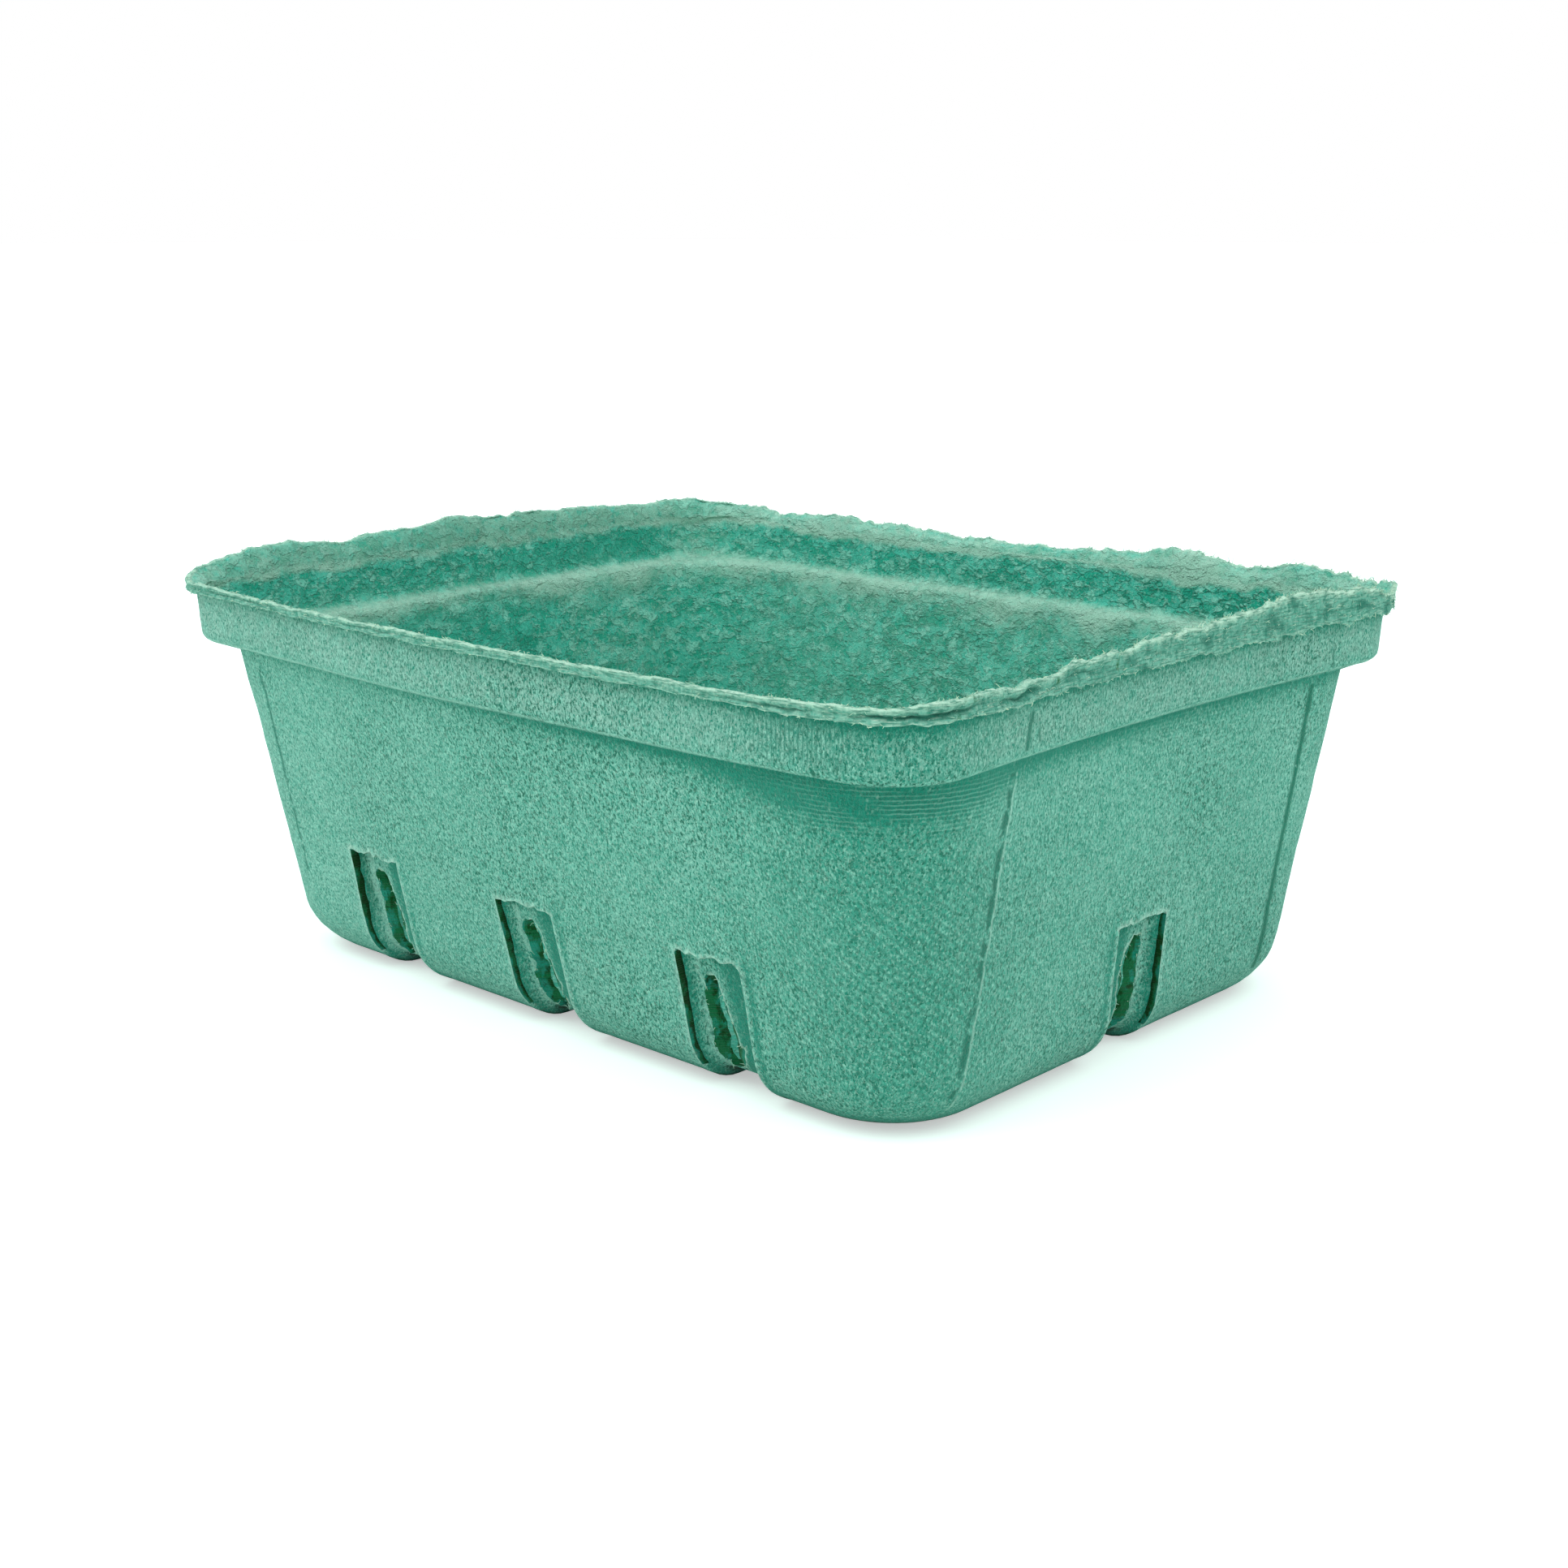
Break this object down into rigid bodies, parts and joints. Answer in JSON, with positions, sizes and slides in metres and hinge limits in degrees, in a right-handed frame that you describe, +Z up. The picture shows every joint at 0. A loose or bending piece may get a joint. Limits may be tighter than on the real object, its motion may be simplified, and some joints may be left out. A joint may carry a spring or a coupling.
{
  "type": "pulp berry basket",
  "caption": "Open rectangular berry basket of moulded paper pulp, with tapered walls, slotted vent ribs low in the walls, channels under the floor and a stepped rim with a torn lip.",
  "frame": {"origin": "on the table, under the middle of the basket's overall length and width", "axes": "+X along the long walls, towards the end wall seen on the picture's right; -Y out of the long wall seen on its left; +Z up, out of the open mouth"},
  "size_m": [0.2138, 0.173, 0.0882],
  "materials": {
    "green_moulded_pulp": "matte, felted"
  },
  "bodies": {
    "root": {"pulp_basket": "green_moulded_pulp"}
  },
  "joints": []
}
